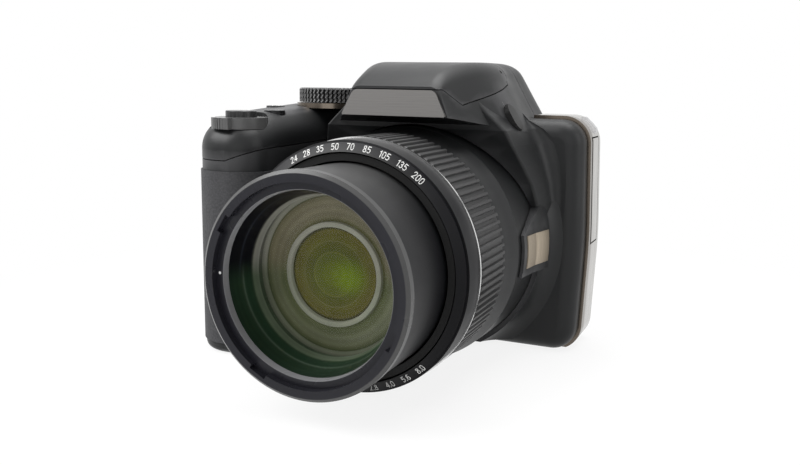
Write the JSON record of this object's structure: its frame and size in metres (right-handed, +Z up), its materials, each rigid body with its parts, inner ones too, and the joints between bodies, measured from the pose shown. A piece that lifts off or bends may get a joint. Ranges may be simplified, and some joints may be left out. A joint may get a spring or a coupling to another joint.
{
  "type": "bridge camera",
  "caption": "Black bridge camera with an extending zoom lens, ribbed lens ring, pop-up flash hump, rubber grip, mode dial, eyepiece, rear screen and silver side band.",
  "frame": {"origin": "mouth of the tripod socket, in the plane of the base, under the lens axis", "axes": "+Z up, -Y the way the lens looks, +X to the right of someone facing the lens"},
  "size_m": [0.1183, 0.1215, 0.0931],
  "materials": {
    "body_black": "satin charcoal black moulded plastic",
    "grip_rubber": "fine pebbled black rubber",
    "lens_black": "satin black paint",
    "barrel_grey": "satin dark grey anodised",
    "cell_black": "matt black",
    "silver_band": "satin silver paint",
    "bright_trim": "bright ring",
    "front_glass": "coated lens glass",
    "inner_glass": "coated lens glass",
    "clear_plastic": "clear window",
    "lamp_glass": "amber lens",
    "screen_black": "dark glossy pane",
    "plate_black": "bare gloss plate",
    "badge_bronze": "brushed champagne",
    "button_black": "semi-gloss",
    "dial_black": "knurled satin",
    "steel": "plain",
    "brass": "turned",
    "board_green": "circuit board",
    "display_dark": "display panel",
    "gear_white": "nylon",
    "battery_grey": "battery case"
  },
  "bodies": {
    "body": {"front_cover": "body_black", "rear_cover": "body_black", "top_cover": "body_black", "side_band": "silver_band", "port_sockets": "button_black", "grip_rubber": "grip_rubber", "thumb_rest": "grip_rubber", "front_plate": "plate_black", "badge_plate": "badge_bronze", "lens_collar": "lens_black", "ribbed_ring": "grip_rubber", "silver_ring": "bright_trim", "bezel_ring": "lens_black", "guide_rods": "steel", "iris_unit": "cell_black", "lens_base": "cell_black", "hinge_pin": "steel", "dial_seat": "silver_band", "focus_lamp": "lamp_glass", "screen_glass": "screen_black", "screen_panel": "display_dark", "eyecup": "grip_rubber", "viewfinder_tube": "cell_black", "eyepiece_lens": "clear_plastic", "strap_lugs": "steel", "tripod_socket": "brass", "chassis": "steel", "image_sensor": "screen_black", "main_board": "board_green", "zoom_motor": "steel", "battery": "battery_grey", "battery_box": "cell_black", "cover_screws": "steel"},
    "front_zoom": {"front_barrel": "barrel_grey", "front_rim": "barrel_grey", "front_cell": "cell_black", "front_lens": "front_glass", "inner_cell": "cell_black", "second_lens": "inner_glass"},
    "middle_zoom": {"middle_barrel": "barrel_grey"},
    "gear": {"drive_gear": "gear_white"},
    "focus_group": {"focus_cell": "cell_black", "focus_lens": "inner_glass"},
    "flash": {"flash_lid": "body_black", "flash_window": "clear_plastic", "flash_reflector": "bright_trim"},
    "flash_button_body": {"flash_button": "button_black"},
    "zoom_lever_body": {"zoom_lever": "button_black"},
    "shutter_button_body": {"shutter_button": "button_black"},
    "top_button_body": {"top_button": "button_black"},
    "power_button_body": {"power_button": "button_black"},
    "mode_dial_body": {"mode_dial": "dial_black"},
    "dioptre_wheel_body": {"dioptre_wheel": "button_black"},
    "direction_pad_body": {"direction_pad": "button_black"},
    "set_button_body": {"set_button": "button_black"},
    "menu_button_body": {"menu_button": "button_black"},
    "play_button_body": {"play_button": "button_black"},
    "video_button_body": {"video_button": "button_black"},
    "port_door_body": {"port_door": "silver_band"},
    "battery_door_body": {"battery_door": "body_black"}
  },
  "joints": [
    {"name": "zoom_slide", "type": "slide", "parent": "body", "child": "front_zoom", "axis": [0, -1, 0], "range_m": [-0.023, 0.036]},
    {"name": "middle_slide", "type": "slide", "parent": "body", "child": "middle_zoom", "axis": [0, -1, 0], "range_m": [-0.0115, 0.018]},
    {"name": "drive_gear_spin", "type": "hinge", "parent": "body", "child": "gear", "pos_m": [0.024, 0, 0.0125], "axis": [0, 1, 0], "range_deg": [-330, 510]},
    {"name": "focus_slide", "type": "slide", "parent": "body", "child": "focus_group", "axis": [0, -1, 0], "range_m": [-0.0015, 0.0015]},
    {"name": "flash_lid_hinge", "type": "hinge", "parent": "body", "child": "flash", "pos_m": [0, -0.0105, 0.09], "axis": [-1, 0, 0], "range_deg": [0, 33]},
    {"name": "flash_button_press", "type": "slide", "parent": "body", "child": "flash_button_body", "axis": [-0.8572, 0, -0.515], "range_m": [0, 0.0006], "stiffness_N_per_m": 300, "springref_m": -0.0004},
    {"name": "shutter_press", "type": "slide", "parent": "body", "child": "shutter_button_body", "axis": [0, 0, -1], "range_m": [0, 0.0012], "stiffness_N_per_m": 300, "springref_m": -0.0004},
    {"name": "top_button_press", "type": "slide", "parent": "body", "child": "top_button_body", "axis": [0, 0, -1], "range_m": [0, 0.0004], "stiffness_N_per_m": 300, "springref_m": -0.0004},
    {"name": "power_button_press", "type": "slide", "parent": "body", "child": "power_button_body", "axis": [0, 0, -1], "range_m": [0, 0.0004], "stiffness_N_per_m": 300, "springref_m": -0.0004},
    {"name": "zoom_lever_turn", "type": "hinge", "parent": "body", "child": "zoom_lever_body", "pos_m": [-0.0507, -0.0496, 0.0714], "axis": [0, 0, 1], "range_deg": [-22, 22], "stiffness_Nm_per_rad": 0.02},
    {"name": "mode_dial_turn", "type": "hinge", "parent": "body", "child": "mode_dial_body", "pos_m": [-0.041, -0.008, 0.0792], "axis": [0, 0, 1], "continuous": true},
    {"name": "dioptre_turn", "type": "hinge", "parent": "body", "child": "dioptre_wheel_body", "pos_m": [-0.02, 0.014, 0.077], "axis": [0, 1, 0], "range_deg": [-120, 120]},
    {"name": "direction_pad_press", "type": "slide", "parent": "body", "child": "direction_pad_body", "axis": [0, -1, 0], "range_m": [0, 0.0005], "stiffness_N_per_m": 300, "springref_m": -0.0004},
    {"name": "set_button_press", "type": "slide", "parent": "body", "child": "set_button_body", "axis": [0, -1, 0], "range_m": [0, 0.0006], "stiffness_N_per_m": 300, "springref_m": -0.0004},
    {"name": "menu_press", "type": "slide", "parent": "body", "child": "menu_button_body", "axis": [0, -1, 0], "range_m": [0, 0.0006], "stiffness_N_per_m": 300, "springref_m": -0.0004},
    {"name": "play_press", "type": "slide", "parent": "body", "child": "play_button_body", "axis": [0, -1, 0], "range_m": [0, 0.0006], "stiffness_N_per_m": 300, "springref_m": -0.0004},
    {"name": "video_press", "type": "slide", "parent": "body", "child": "video_button_body", "axis": [0, -1, 0], "range_m": [0, 0.0006], "stiffness_N_per_m": 300, "springref_m": -0.0004},
    {"name": "port_door_hinge", "type": "hinge", "parent": "body", "child": "port_door_body", "pos_m": [0.0511, 0.0091, 0.036], "axis": [0, 0, 1], "range_deg": [0, 100]},
    {"name": "battery_door_hinge", "type": "hinge", "parent": "body", "child": "battery_door_body", "pos_m": [-0.04385, -0.032, 0], "axis": [0, -1, 0], "range_deg": [0, 100]}
  ],
  "couplings": [
    {"joint": "middle_slide", "follows": "zoom_slide", "ratio": 0.5},
    {"joint": "drive_gear_spin", "follows": "zoom_slide", "rad_per_m": 240.96}
  ]
}
